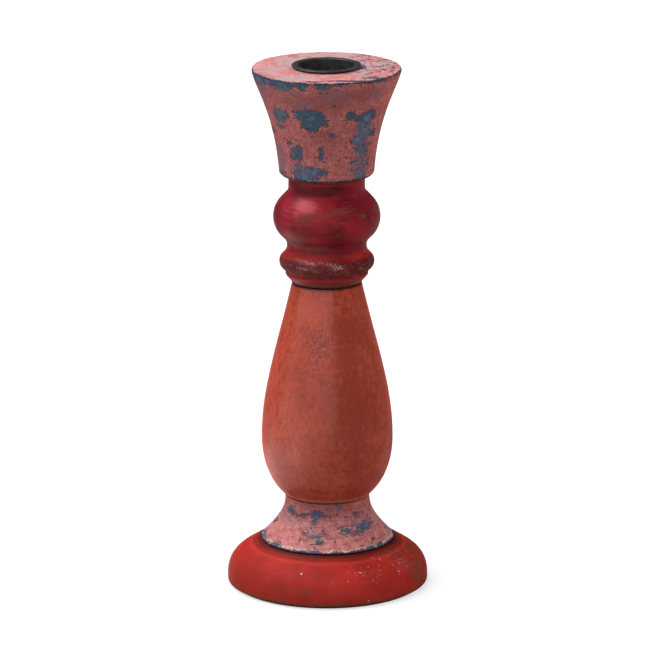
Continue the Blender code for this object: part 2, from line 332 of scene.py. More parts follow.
class Finish:
    """One Principled material, built a node at a time. A colour is linear red, green and blue."""

    def __init__(self, name, roughness=0.5, **uniform):
        self.material = bpy.data.materials.new(name)
        self.material.use_nodes = True
        self.tree = self.material.node_tree
        self.shader = self.tree.nodes["Principled BSDF"]
        self.shader.inputs["Roughness"].default_value = roughness
        for socket, value in uniform.items():
            self.shader.inputs[socket.replace("_", " ")].default_value = value
        self.place = self.tree.nodes.new("ShaderNodeTexCoord").outputs["Object"]

    def add(self, kind, output=0, settings=None, **inputs):
        """Adds a node and gives one of its outputs. An input is named, or _0, _1 and so on by its place."""
        node = self.tree.nodes.new("ShaderNode" + kind)
        for key, value in (settings or {}).items():
            setattr(node, key, value)
        for key, value in inputs.items():
            socket = int(key[1:]) if key[1:].isdigit() else key.replace("_", " ")
            self.give(node.inputs[socket], value)
        return node.outputs[output]

    def give(self, socket, value):
        if isinstance(value, bpy.types.NodeSocket):
            self.tree.links.new(value, socket)
        elif isinstance(value, tuple) and len(value) == 3 and socket.type == "RGBA":
            socket.default_value = (*value, 1.0)
        else:
            socket.default_value = value

    def field(self, name):
        """A number that make_piece() stored on the mesh."""
        return self.add("Attribute", "Fac", {"attribute_name": name})

    def noise(self, size, detail=4.0, rough=0.55, stretch=(1, 1, 1), seed=0.0, warp=0.0):
        """Noise from 0 to 1, mostly near 0.5, with features this many millimetres across."""
        scale = tuple(1 / (size * MM * part) for part in stretch)
        shift = tuple(seed * part for part in SEED_SHIFT)
        spot = self.add("Mapping", _0=self.place, _1=shift, _3=scale)
        settings = {"Scale": 1.0, "Detail": detail, "Roughness": rough, "Distortion": warp}
        return self.add("TexNoise", "Fac", Vector=spot, **settings)

    def calculate(self, operation, a, b=0.0):
        return self.add("Math", settings={"operation": operation}, _0=a, _1=b)

    def sum(self, *values):
        total = values[0]
        for value in values[1:]:
            total = self.calculate("ADD", total, value)
        return total

    def times(self, a, b):
        return self.calculate("MULTIPLY", a, b)

    def swing(self, noise, amount):
        """Noise as a number that swings about 0, this many times as far."""
        return self.times(self.sum(noise, -0.5), amount)

    def ramp(self, value, low, high, at_low=0.0, at_high=1.0):
        """Goes from one number to the other as value goes from low to high, with soft ends."""
        soft = {"interpolation_type": "SMOOTHSTEP"}
        return self.add("MapRange", settings=soft, _0=value, _1=low, _2=high, _3=at_low, _4=at_high)

    def mix(self, factor, a, b):
        node = self.tree.nodes.new("ShaderNodeMix")
        node.data_type = "RGBA"
        self.give(node.inputs[0], factor)
        self.give(node.inputs[6], a)
        self.give(node.inputs[7], b)
        return node.outputs[2]

    def set(self, **sockets):
        for socket, value in sockets.items():
            self.give(self.shader.inputs[socket.replace("_", " ")], value)

    def bump(self, height, depth):
        """Relief too fine for the mesh, this many millimetres deep."""
        self.set(Normal=self.add("Bump", "Normal", Height=height, Strength=1.0, Distance=depth * MM))


def grey(value):
    return (value, value, value)


PINK = (0.41, 0.105, 0.099)
PINK_LIGHT = (0.57, 0.185, 0.172)
PINK_PAINTED_LIGHT = (0.78, 0.38, 0.35)
PINK_DARK = (0.28, 0.072, 0.070)
RUSSET = (0.22, 0.055, 0.05)
SLATE_BLUE = (0.050, 0.070, 0.116)
TEAL = (0.037, 0.074, 0.098)
PALE_BLUE = (0.150, 0.160, 0.235)
LILAC = (0.16, 0.098, 0.124)
BLOOM = (0.24, 0.155, 0.190)
LILAC_PAINTED_LIGHT = (0.66, 0.46, 0.49)
INK = (0.018, 0.028, 0.040)
PLUM = (0.13, 0.060, 0.085)
CHALK = (0.62, 0.50, 0.46)


def pink_over_blue():
    """Dusty pink paint, rubbed through to slate blue where chip is above 0 and thin where haze is high. The
    top face and the collar's lower part are painted paler as painted light, shaded places darker as painted
    shade, and the chips' edges are inked as painted shade.
    """
    f = Finish("pink_over_blue", roughness=0.62, Specular_IOR_Level=0.065)
    chip, haze, ink = f.field("chip"), f.field("haze"), f.field("ink")
    broad = f.noise(11, detail=3)
    patchy = f.noise(2.6, detail=6, rough=0.65, seed=1)
    fine = f.noise(0.8, detail=4, rough=0.7, seed=2)
    grit = f.noise(0.38, detail=2, seed=5)
    ringed = f.noise(0.55, detail=4, rough=0.65, stretch=(9, 9, 1), seed=3, warp=0.4)
    lined = f.field("lined")
    pink = f.mix(f.ramp(broad, 0.35, 0.68), PINK_DARK, PINK)
    pink = f.mix(f.ramp(patchy, 0.44, 0.7, 0.0, 0.8), pink, PINK_LIGHT)
    pink = f.mix(f.ramp(fine, 0.5, 0.62, 0.0, 0.85), pink, RUSSET)
    pink = f.mix(f.ramp(grit, 0.53, 0.63, 0.0, 0.7), pink, PINK_LIGHT)
    pink = f.mix(f.ramp(grit, 0.37, 0.47, 0.5, 0.0), pink, RUSSET)
    # Painted light: paler pink on the top face and the collar's lower part, where they are lit.
    pink = f.mix(f.times(f.field("painted_light"), f.ramp(patchy, 0.35, 0.6, 0.3, 1.0)), pink, PINK_PAINTED_LIGHT)
    # Painted shade: russet darkening on the cup under its rim and on the collar under the body.
    pink = f.mix(f.times(f.field("painted_shade"), f.ramp(fine, 0.3, 0.6, 0.5, 1.0)), pink, RUSSET)
    thin = f.sum(haze, f.swing(patchy, 3.2), f.swing(fine, 2.4))
    # The lilac haze is painted paler there too, as painted light.
    lilac = f.mix(f.field("painted_light"), LILAC, LILAC_PAINTED_LIGHT)
    pink = f.mix(f.ramp(thin, 0.25, 0.95, 0.0, 0.9), pink, lilac)
    brushed = f.mix(f.ramp(broad, 0.4, 0.6), PLUM, RUSSET)
    pink = f.mix(f.times(f.ramp(ringed, 0.52, 0.64), lined), pink, brushed)
    pink = f.mix(f.times(f.ramp(ringed, 0.36, 0.46, 0.8, 0.0), lined), pink, PINK_LIGHT)
    pink = f.mix(f.field("chalk"), pink, CHALK)
    blue = f.mix(f.ramp(broad, 0.4, 0.6), SLATE_BLUE, TEAL)
    blue = f.mix(f.ramp(patchy, 0.48, 0.7, 0.0, 0.7), blue, PALE_BLUE)
    blue = f.mix(f.ramp(thin, 0.3, 1.1, 0.0, 0.5), blue, PALE_BLUE)
    blue = f.mix(f.ramp(fine, 0.56, 0.7, 0.0, 0.6), blue, LILAC)
    blue = f.mix(f.ramp(grit, 0.56, 0.68, 0.0, 0.6), blue, INK)
    edge = f.sum(chip, f.swing(fine, 4.0), f.swing(grit, 2.0))
    chipped = f.ramp(edge, -0.05, 0.06)
    # Painted shade: dark ink round the chips' edges, where the paint's raised edge throws shade.
    shaded = f.times(f.ramp(edge, -0.15, 0.02), f.ramp(edge, 0.15, 0.45, 1.0, 0.0))
    colour = f.mix(chipped, pink, blue)
    colour = f.mix(f.times(shaded, f.ramp(patchy, 0.42, 0.58, 0.05, 0.8)), colour, INK)
    inked = f.sum(ink, f.swing(fine, 2.0), f.swing(grit, 1.2))
    colour = f.mix(f.ramp(inked, 0.0, 0.12), colour, INK)
    f.set(Base_Color=colour, Roughness=f.ramp(fine, 0.3, 0.7, 0.52, 0.72))
    lines = f.times(f.times(ringed, lined), -0.8)
    f.bump(f.sum(f.times(fine, 0.5), f.times(grit, 0.3), f.times(chipped, -0.7), lines), 0.1)
    return f.material


PAINTED_SHADOW_DARK = (0.035, 0.004, 0.006)
CRIMSON = (0.26, 0.012, 0.022)
CRIMSON_DEEP = (0.14, 0.007, 0.012)
CRIMSON_PAINTED_HIGHLIGHT = (0.44, 0.048, 0.075)
ORANGE_RED = (0.33, 0.018, 0.010)
RUBBED_BROWN = (0.145, 0.050, 0.040)
OLIVE_BROWN = (0.100, 0.034, 0.020)
UMBER = (0.045, 0.012, 0.010)
MAUVE = (0.42, 0.24, 0.24)


def crimson():
    """Crimson paint with horizontal rubs down to brown and warmer on the ring. It also carries a painted
    highlight on the bulb, painted shade in the grooves and round the ring, and the cup's painted shadow on
    the neck.
    """
    f = Finish("crimson_paint", roughness=0.36, Specular_IOR_Level=0.06)
    broad = f.noise(9, detail=3)
    streak = f.noise(1.3, detail=6, rough=0.65, stretch=(7, 7, 0.6), seed=1, warp=0.3)
    fine = f.noise(0.6, detail=4, rough=0.7, seed=2)
    grit = f.noise(0.35, detail=2, seed=5)
    blotchy = f.noise(1.5, detail=5, rough=0.65, stretch=(2, 2, 1), seed=6)
    ringed = f.noise(0.5, detail=3, stretch=(24, 24, 1), seed=3)
    colour = f.mix(f.ramp(broad, 0.35, 0.65), CRIMSON_DEEP, CRIMSON)
    colour = f.mix(f.field("warm"), colour, ORANGE_RED)
    colour = f.mix(f.ramp(ringed, 0.45, 0.7, 0.0, 0.45), colour, CRIMSON_DEEP)
    # Painted highlight: lighter crimson on the upper left of the bulb.
    lit = f.sum(f.field("light"), f.swing(streak, 1.6))
    colour = f.mix(f.ramp(lit, 0.15, 1.0, 0.0, 0.9), colour, CRIMSON_PAINTED_HIGHLIGHT)
    rubbed = f.sum(f.field("rub"), f.swing(streak, 2.4), f.swing(ringed, 2.0))
    brown = f.mix(f.ramp(broad, 0.4, 0.6), RUBBED_BROWN, OLIVE_BROWN)
    colour = f.mix(f.ramp(rubbed, 0.1, 1.1, 0.0, 0.8), colour, brown)
    # Real dirt patches, and painted shade on the ring's lower half and in the grooves.
    grime_and_shade_mask = f.sum(f.field("grime_and_shade"), f.swing(fine, 2.2), f.swing(streak, 2.2))
    grime_and_shade_amount = f.ramp(grime_and_shade_mask, 0.25, 1.0, 0.0, 0.9)
    dirt = f.mix(f.ramp(f.sum(blotchy, f.times(fine, 0.4)), 0.68, 0.86), UMBER, RUBBED_BROWN)
    dirt = f.mix(f.ramp(grit, 0.53, 0.65, 0.0, 0.4), dirt, OLIVE_BROWN)
    colour = f.mix(grime_and_shade_amount, colour, dirt)
    # Painted shadow of the cup on the neck, and the dark joint at the knob's foot.
    cup_shadow_and_seam_mask = f.sum(f.field("cup_shadow_and_seam"), f.swing(streak, 0.8))
    colour = f.mix(f.ramp(cup_shadow_and_seam_mask, 0.1, 0.9, 0.0, 0.75), colour, PAINTED_SHADOW_DARK)
    scuffed = f.sum(f.field("scuff"), f.swing(fine, 3.4), f.swing(grit, 3.4))
    colour = f.mix(f.ramp(scuffed, 0.86, 1.25, 0.0, 0.8), colour, MAUVE)
    f.set(Base_Color=colour, Roughness=f.sum(f.ramp(streak, 0.3, 0.75, 0.3, 0.5), f.times(grime_and_shade_amount, 0.35)))
    f.bump(f.sum(f.times(streak, 0.5), f.times(fine, 0.3), f.times(ringed, 0.4)), 0.08)
    return f.material


TERRACOTTA = (0.335, 0.039, 0.017)
TERRACOTTA_LIGHT = (0.42, 0.062, 0.032)
TERRACOTTA_DARK = (0.19, 0.019, 0.0085)
BURNT = (0.12, 0.022, 0.014)
TAN = (0.42, 0.17, 0.09)


def terracotta():
    """Stained open-grained wood under a thin crazed varnish, which glows warmly where it is seen edge on."""
    f = Finish(
        "terracotta_stain",
        roughness=0.5,
        Specular_IOR_Level=0.06,
        Coat_Weight=0.14,
        Coat_Roughness=0.24,
        Coat_IOR=2.0,
        Sheen_Weight=1.0,
        Sheen_Roughness=0.24,
        Sheen_Tint=(1.0, 0.08, 0.03, 1.0),
    )
    broad = f.noise(14, detail=3, stretch=(1, 1, 2))
    grain = f.noise(1.0, detail=6, rough=0.65, stretch=(1, 1, 2.4), seed=1, warp=0.5)
    mottle = f.noise(2.2, detail=6, rough=0.7, stretch=(1, 1, 1.3), seed=3)
    fine = f.noise(0.45, detail=3, rough=0.65, stretch=(1, 1, 1.4), seed=2)
    colour = f.mix(f.ramp(broad, 0.35, 0.65), TERRACOTTA, TERRACOTTA_LIGHT)
    darker = f.sum(mottle, f.times(f.field("deep"), 0.22))
    colour = f.mix(f.ramp(darker, 0.44, 0.68, 0.0, 0.7), colour, TERRACOTTA_DARK)
    colour = f.mix(f.ramp(grain, 0.48, 0.68, 0.0, 0.5), colour, TERRACOTTA_DARK)
    colour = f.mix(f.ramp(fine, 0.52, 0.66, 0.0, 0.5), colour, TERRACOTTA_LIGHT)
    pores = f.sum(f.field("pore"), f.swing(fine, 0.8))
    colour = f.mix(f.ramp(pores, 0.0, 0.25, 0.0, 0.7), colour, UMBER)
    wrinkle = f.noise(2.4, detail=3, rough=0.6, stretch=(1.2, 1.2, 1), seed=6, warp=0.8)
    off_line = f.calculate("ABSOLUTE", f.sum(wrinkle, -0.5))
    line = f.times(f.ramp(off_line, 0.006, 0.036, 1.0, 0.0), f.field("crazed"))
    colour = f.mix(f.times(line, 0.9), colour, BURNT)
    colour = f.mix(f.times(f.field("scratch"), 0.75), colour, TERRACOTTA_DARK)
    colour = f.mix(f.times(f.field("pale"), 0.75), colour, TERRACOTTA_LIGHT)
    colour = f.mix(f.times(f.field("bare"), f.ramp(mottle, 0.35, 0.55, 0.4, 1.0)), colour, TAN)
    # Dirt at the knob's joint, and a painted shadow under the knob.
    grime_and_shade_mask = f.sum(f.field("grime_and_shade"), f.swing(fine, 0.8))
    colour = f.mix(f.ramp(grime_and_shade_mask, 0.25, 0.9, 0.0, 0.9), colour, UMBER)
    f.set(Base_Color=colour, Roughness=f.ramp(grain, 0.3, 0.7, 0.42, 0.58))
    f.bump(f.sum(f.times(grain, 0.4), f.times(mottle, 0.4), f.times(fine, 0.3), f.times(line, -1.6)), 0.09)
    return f.material


BASE_RED = (0.36, 0.020, 0.0135)
BASE_RED_HIGHLIGHT = (0.44, 0.034, 0.024)
BASE_RED_DARK = (0.25, 0.015, 0.011)
BROWN = (0.15, 0.036, 0.018)
SHADE_RED = (0.075, 0.008, 0.007)
FLECK = (0.60, 0.34, 0.36)


def base_red():
    """Red paint, brown in rubbed patches and towards its lower edge, and at the sides as painted shade, with
    pale flecks, a painted shadow under the collar's lip and a painted highlight on the raised ring beyond it.
    """
    f = Finish("red_paint", roughness=0.6, Specular_IOR_Level=0.055)
    broad = f.noise(13, detail=4)
    fine = f.noise(0.6, detail=4, rough=0.65, seed=2)
    ringed = f.noise(0.6, detail=3, stretch=(30, 30, 1), seed=3)
    patchy = f.noise(2.8, detail=6, rough=0.65, seed=4)
    colour = f.mix(f.ramp(broad, 0.35, 0.68), BASE_RED_DARK, BASE_RED)
    colour = f.mix(f.ramp(ringed, 0.48, 0.7, 0.0, 0.35), colour, BASE_RED_DARK)
    colour = f.mix(f.ramp(fine, 0.54, 0.72, 0.0, 0.4), colour, BASE_RED_DARK)
    # Brown rubs, partly painted shade at the sides, and browner towards the lower edge.
    worn = f.sum(f.field("wear_and_shade"), f.swing(patchy, 2.0), f.swing(fine, 1.0))
    colour = f.mix(f.ramp(worn, 0.25, 1.0, 0.0, 0.8), colour, BROWN)
    bloom = f.sum(f.field("bloom"), f.swing(patchy, 2.0), f.swing(fine, 4.0))
    colour = f.mix(f.ramp(bloom, 0.8, 1.3, 0.0, 0.45), colour, BLOOM)
    # Painted highlight along the raised ring beyond the seat.
    colour = f.mix(f.field("ridge_and_highlight"), colour, BASE_RED_HIGHLIGHT)
    # Painted shadow under the collar's lip.
    colour = f.mix(f.field("painted_lip_shadow"), colour, SHADE_RED)
    colour = f.mix(f.ramp(f.sum(f.field("fleck"), f.swing(fine, 0.8)), 0.0, 0.12), colour, FLECK)
    f.set(Base_Color=colour, Roughness=f.ramp(fine, 0.3, 0.7, 0.54, 0.7))
    f.bump(f.sum(f.times(fine, 0.5), f.times(ringed, 0.5)), 0.08)
    return f.material


STEEL = grey(0.022)
STEEL_HAZE = grey(0.036)


def black_steel():
    """Blackened steel, a little hazy."""
    f = Finish("black_steel", roughness=0.42, Specular_IOR_Level=0.17)
    haze = f.noise(2.5, detail=4)
    fine = f.noise(0.5, detail=2, seed=1)
    f.set(
        Base_Color=f.mix(f.ramp(haze, 0.4, 0.7), STEEL, STEEL_HAZE),
        Roughness=f.ramp(haze, 0.35, 0.7, 0.36, 0.5),
    )
    f.bump(fine, 0.015)
    return f.material


def black_felt():
    """Black felt, with fibres that lie mostly one way."""
    f = Finish("black_felt", roughness=0.95, Specular_IOR_Level=0.1, Sheen_Weight=0.25, Sheen_Roughness=0.6)
    fibres = f.noise(0.5, detail=5, stretch=(3, 1, 1), warp=1.5)
    f.set(Base_Color=f.mix(fibres, grey(0.012), grey(0.04)))
    f.bump(fibres, 0.25)
    return f.material


BEECH = (0.62, 0.42, 0.25)
BEECH_GRAIN = (0.46, 0.28, 0.15)
BEECH_FLECK = (0.3, 0.16, 0.08)


def beech():
    """Bare beech, with grain along the dowel and short dark flecks."""
    f = Finish("beech", roughness=0.6, Specular_IOR_Level=0.3)
    grain = f.noise(0.8, detail=4, stretch=(1, 1, 10))
    flecks = f.noise(0.5, detail=2, stretch=(1, 1, 4), seed=1)
    colour = f.mix(f.ramp(grain, 0.35, 0.7), BEECH, BEECH_GRAIN)
    f.set(Base_Color=f.mix(f.ramp(flecks, 0.6, 0.7, 0.0, 0.5), colour, BEECH_FLECK))
    f.bump(grain, 0.05)
    return f.material


ZINC = (0.5, 0.5, 0.48)
ZINC_BRIGHT = (0.66, 0.65, 0.6)


def zinc():
    """Zinc plating with a faint spangle."""
    f = Finish("zinc_plate", roughness=0.35, Metallic=1.0)
    spangle = f.noise(1.5, detail=3)
    f.set(
        Base_Color=f.mix(f.ramp(spangle, 0.35, 0.65), ZINC, ZINC_BRIGHT),
        Roughness=f.ramp(spangle, 0.3, 0.7, 0.28, 0.45),
    )
    f.bump(f.noise(0.4, detail=2, seed=1), 0.01)
    return f.material


# ---- the pink and blue sections ----


def spots_flat(skin, places):
    """As spots(), for a level face. A place is x, y, half a width and half a depth."""
    inside = np.full(len(skin.angle), FAR_OUTSIDE)
    for x, y, half_width, half_depth in places:
        reach = np.hypot((skin.points[:, 0] - x) / half_width, (skin.points[:, 1] - y) / half_depth)
        inside = np.maximum(inside, (1 - reach) * min(half_width, half_depth))
    return inside


CUP_CHIPS = [
    # the big patch left of the middle
    (-22, 195.6, 4.4, 2.6), (-15, 192.8, 4.4, 3.6), (-9, 194.8, 3.8, 2.8), (-3, 192.8, 2.6, 1.4),
    (-15, 195.6, 5.0, 3.0), (-14, 190.8, 2.6, 2.0),
    # the small one beside it
    (-49, 194.7, 4.4, 2.3), (-51, 192.8, 2.2, 1.3), (-53, 189.3, 1.8, 0.8),
    # the long one that runs down the right
    (23, 195.1, 2.2, 1.8), (34, 193.8, 3.4, 1.5), (42, 194.1, 4.5, 2.7), (40, 190.9, 3.1, 1.5),
    (42, 187.3, 2.7, 2.9), (52, 186.7, 3.7, 1.2), (38, 184.5, 3.8, 2.0), (45, 181.6, 3.9, 1.1),
    (45, 170.3, 2.0, 1.6),
    # low on the left
    (-43, 183.0, 2.0, 1.1), (-41, 180.1, 1.6, 1.4), (-33, 179.4, 1.8, 3.2), (-40, 177.4, 2.4, 1.3),
    (-33, 173.9, 1.4, 1.4), (-6, 180.8, 1.0, 1.7), (-7, 178.0, 1.0, 1.1), (6, 187.4, 1.2, 1.0),
    # along the foot
    (-30, 170.2, 3.9, 2.3), (-18, 172.2, 3.4, 2.3), (-5, 171.6, 2.0, 1.6), (-18, 169.5, 3.3, 1.2),
    (-69, 169.5, 2.2, 1.4), (-73, 186.9, 2.0, 1.2),
    # under the rim
    (-70, 207.4, 5.0, 2.2), (-38, 207.9, 5.6, 2.0), (-19, 208.3, 2.4, 1.7), (-4, 208.2, 2.4, 1.6),
    (-11, 209.4, 4.5, 0.9), (42, 209.3, 5.2, 0.9),
]  # fmt: skip
CUP_HAZE = [
    (-21, 200.4, 4.2, 2.8), (4, 204.8, 5.0, 2.2), (12, 202.0, 3.4, 1.6), (-66, 205.0, 6.0, 4.0),
    (45, 204.4, 3.2, 2.6), (41, 177.0, 4.8, 5.4), (44, 171.0, 4.5, 4.0), (-38, 206.0, 7.0, 2.5),
    (-30, 172.0, 6.0, 4.0), (-50, 193.5, 5.0, 3.4), (40, 188.0, 5.5, 8.0), (-66, 176.0, 4.0, 7.0),
]  # fmt: skip
CUP_DARK_SPOTS = [
    (1, 191.2, 0.9, 0.35), (-18, 190.2, 0.9, 0.3), (30, 186.5, 0.8, 0.3), (27, 184.0, 0.6, 0.4),
    (-13, 177.9, 1.0, 0.25), (-51, 184.6, 0.5, 0.5), (14, 177.0, 0.4, 0.3), (-3, 176.4, 0.6, 0.3),
]  # fmt: skip
# Where the cup's side is painted darker as shade, mostly under the rim.
CUP_PAINTED_SHADE = [(-5, 201.5, 17, 5), (20, 204, 12, 3.5), (-3, 187, 7, 4)]
CUP_STREAKY = [(41, 176.5, 4.6, 5.0), (170, 178, 6, 5), (250, 186, 5, 5)]
TOP_BLUE = [(9, -25.0, 9, 1.8), (19, -19.5, 5.0, 1.8), (14.5, 1.0, 1.2, 5.0), (-5, -26.5, 4, 1.2)]
TOP_HAZE = [(-16, 7, 5, 9), (-23, -7, 6, 5), (-14, -20, 9, 5), (15, 1, 3.5, 9), (2, 22, 13, 5),
            (-12, 17, 6, 5), (10, 15, 5, 4), (12, -13, 3, 5), (23, 4, 4, 7)]
LEVEL = 0.8  # a normal that points up more than this belongs to a top face


def dress_cup(skin):
    """Chips, rubs and pits on the cup's side, scratches on its top, and a dark worn line round its edge. The
    front of the side, mostly under the rim, is darkened as painted shade, and the top is painted paler as
    painted light.
    """
    side = skin.facing_up < LEVEL
    foot_height, rim_height, rim_radius = skin.height.min(), skin.height.max(), skin.radius.max()
    ragged = fractal(skin, 2.8, seed=11, octaves=4, rough=0.68)
    broad = fractal(skin, 12, seed=31, octaves=4)
    behind = smooth_step(np.abs(turned(skin.angle, 0)), 68, 92)
    patches = 2.6 * fractal(skin, 9, seed=21, octaves=5, rough=0.62) - 1.1
    chip = np.maximum(spots(skin, CUP_CHIPS) + 0.62 * ragged - 0.05, patches - 3 * (1 - behind))
    streaks = fractal(skin, 2.4, seed=15, octaves=4, stretch=(1.8, 1.8, 0.45), rough=0.6)
    chip = np.maximum(chip, np.minimum(spots(skin, CUP_STREAKY) + 0.8, streaks * 1.5 - 0.28))
    from_rim = rim_height - skin.height
    worn = 0.7 + 2.6 * bell(turned(skin.angle, -48), 0, 40) + 0.9 * broad
    chip = np.where(side, np.maximum(chip, worn - from_rim + 0.8 * ragged), -1.0)
    near_edge = skin.radius - (rim_radius - 0.9)
    top_chip = np.maximum(near_edge + 0.5 * ragged - 0.2, spots_flat(skin, TOP_BLUE) + 0.9 * ragged - 0.2)
    chip = np.where(side, chip, top_chip)
    haze = spots(skin, CUP_HAZE + scattered(22, 16, (80, 280), (170, 207), (2, 6), (0.5, 0.9)))
    haze = smooth_step(haze + 1.2 * ragged, -1.5, 2.5)
    clouds = fractal(skin, 6, seed=32, octaves=5, rough=0.62)
    haze_top = smooth_step(spots_flat(skin, TOP_HAZE) + 3.5 * clouds, -3.5, 3.0) + 0.35 * clouds
    haze = np.where(side, haze, np.clip(haze_top, 0, 1.3))
    dark = CUP_DARK_SPOTS + scattered(23, 90, (-180, 180), (169, 208), (0.15, 0.5), (0.3, 1.2))
    near_chips = (chip > -2.0) & (chip < 0.3)
    ink = spots(skin, dark) + 0.1 * ragged
    ink = np.maximum(ink, np.where(near_chips, fractal(skin, 0.9, seed=18, octaves=2) * 0.5 - 0.29, -1))
    cracks = 0.18 - np.abs(fractal(skin, 4.2, seed=17, octaves=3, stretch=(1.4, 1.2, 1), rough=0.6))
    broken = 0.8 * fractal(skin, 3.0, seed=19, octaves=3)
    rough_side = smooth_step(skin.points[:, 0] + 4 * broad, 4, 13)
    ink_top = np.minimum(cracks, broken) - 0.6 * (1 - rough_side)
    ink = np.where(side, ink, ink_top)
    edge = 0.55 - np.hypot(skin.radius - rim_radius + 0.15, skin.height - rim_height + 0.35) + 0.12 * ragged
    foot = 1.1 - (skin.height - foot_height) + 0.35 * ragged
    ink = np.maximum(ink, np.maximum(edge, np.where(side & (skin.radius > 18), foot, -1)))
    wobble = fractal(skin, 22, seed=41, octaves=2)
    relief = -0.17 * smooth_step(chip, -0.25, 0.25) - 0.15 * smooth_step(ink, -0.15, 0.15)
    relief += 0.05 * wobble - 0.08 + 0.03 * fractal(skin, 1.4, seed=43, octaves=2)
    nothing = np.zeros_like(chip)
    # Painted light: the top face is painted paler where it is lit.
    painted_light = np.where(side, 0.0, 0.55)
    # Painted shade: the front of the side is darkened, mostly under the rim.
    painted_shade = np.where(side, 0.85 * smooth_step(spots(skin, CUP_PAINTED_SHADE) + 0.8 * broad, -2, 3), 0.0)
    fields = {"chip": chip, "haze": haze, "ink": ink, "chalk": nothing, "lined": nothing + 0.12}
    return relief, fields | {"painted_light": painted_light, "painted_shade": painted_shade}


COLLAR_CHIPS = [
    (-58, 32.6, 2.6, 1.3), (-51, 31.4, 2.4, 0.8), (-15, 32.4, 3.0, 1.5), (-24, 31.9, 2.6, 0.5),
    (-40, 31.0, 2.4, 0.35), (-16, 29.6, 1.4, 1.2),
    (-3, 31.5, 1.8, 0.5), (47, 26.8, 4.2, 1.5), (40, 25.2, 2.4, 0.7), (24, 26.4, 1.8, 0.8),
    (30, 24.6, 0.9, 0.5), (43, 31.4, 2.6, 0.5), (27, 31.2, 1.6, 0.4), (-8, 22.4, 1.6, 0.8),
    (-13, 24.6, 2.6, 0.7), (-29, 22.8, 0.5, 0.4), (50, 21.7, 1.0, 0.5), (15, 34.9, 0.9, 1.2),
    (-52, 19.6, 3.4, 0.9), (-9, 19.4, 3.6, 0.7), (51, 19.6, 4.6, 0.7), (-80, 19.6, 4.0, 0.9),
]  # fmt: skip
COLLAR_HAZE = [
    (-15, 29.8, 3.0, 1.8), (-14, 24.8, 4.8, 2.4), (-52, 28.5, 5.0, 1.8), (-10, 35.4, 5.0, 0.9),
    (24, 27.0, 4.0, 1.8), (45, 27.5, 6.0, 3.0), (15, 34.5, 1.8, 2.2), (-75, 30.0, 5.0, 3.0),
]  # fmt: skip
COLLAR_RIPPLED = [(46, 27, 6.0, 3.6), (-14, 24.4, 4.6, 2.6), (24, 26.6, 3.4, 2.0), (150, 26, 7, 4)]


def dress_collar(skin):
    """Wavy streaks and chips that follow the turning, with a chipped lip and a chalky line over it. Its top
    at the front is darkened as painted shade under the body, and its lower part is painted paler as painted
    light.
    """
    outer = skin.facing_up > 0.02
    foot = skin.height.min()
    ragged = fractal(skin, 2.4, seed=51, octaves=4, stretch=(1.8, 1.8, 0.5), rough=0.65)
    waves = np.sin(skin.height * 8.0 + 4.5 * fractal(skin, 6, seed=52, octaves=3))
    behind = smooth_step(np.abs(turned(skin.angle, 0)), 62, 85)
    patches = 1.6 * fractal(skin, 5, seed=53, octaves=5, stretch=(2.2, 2.2, 0.8), rough=0.6) - 0.8
    chip = np.maximum(spots(skin, COLLAR_CHIPS) + 0.5 * ragged - 0.08, patches - 3 * (1 - behind))
    rippled = spots(skin, COLLAR_RIPPLED)
    chip = np.maximum(chip, np.minimum(rippled + 0.4, 0.45 * waves + 0.8 * ragged - 0.4))
    lip = 0.75 - (skin.height - foot) + 0.45 * ragged
    chip = np.where(outer, np.maximum(chip, lip), 1.0)
    haze = spots(skin, COLLAR_HAZE + scattered(54, 14, (75, 285), (20, 35), (2, 6), (0.3, 0.7)))
    haze = 0.8 * smooth_step(haze, -1.2, 2.0) + 0.15 * smooth_step(waves + ragged, 0.1, 1.2)
    chalk = smooth_step(lip, -0.75, -0.35) * (1 - smooth_step(lip, -0.12, 0.05))
    chalk = 0.75 * chalk * (skin.height < foot + 2.6)
    ink = spots(skin, scattered(55, 60, (-180, 180), (20, 35), (0.15, 0.4), (0.4, 1.1)))
    ink = np.maximum(ink, 0.3 - (skin.height - foot) + 0.2 * ragged)
    relief = -0.14 * smooth_step(chip, -0.25, 0.25) - 0.12 * smooth_step(ink, -0.15, 0.1)
    relief += 0.03 * waves * smooth_step(haze, 0.2, 0.8) - 0.07 + 0.04 * fractal(skin, 15, seed=56, octaves=2)
    lined = np.full(len(chip), 0.5)
    # Painted shade: the collar's top at the front is darkened under the body above it.
    in_front = smooth_step(-np.abs(turned(skin.angle, 2)), -55, -20)
    painted_shade = 0.7 * smooth_step(skin.height + 0.8 * ragged, 30.5, 35) * in_front
    # Painted light: the lower part of the collar is painted paler where it is lit.
    painted_light = 0.26 * (1 - smooth_step(skin.height, 27, 33))
    fields = {"chip": chip, "haze": haze, "ink": ink, "chalk": chalk, "lined": lined}
    return relief, fields | {"painted_light": painted_light, "painted_shade": painted_shade}


# ---- the other sections ----


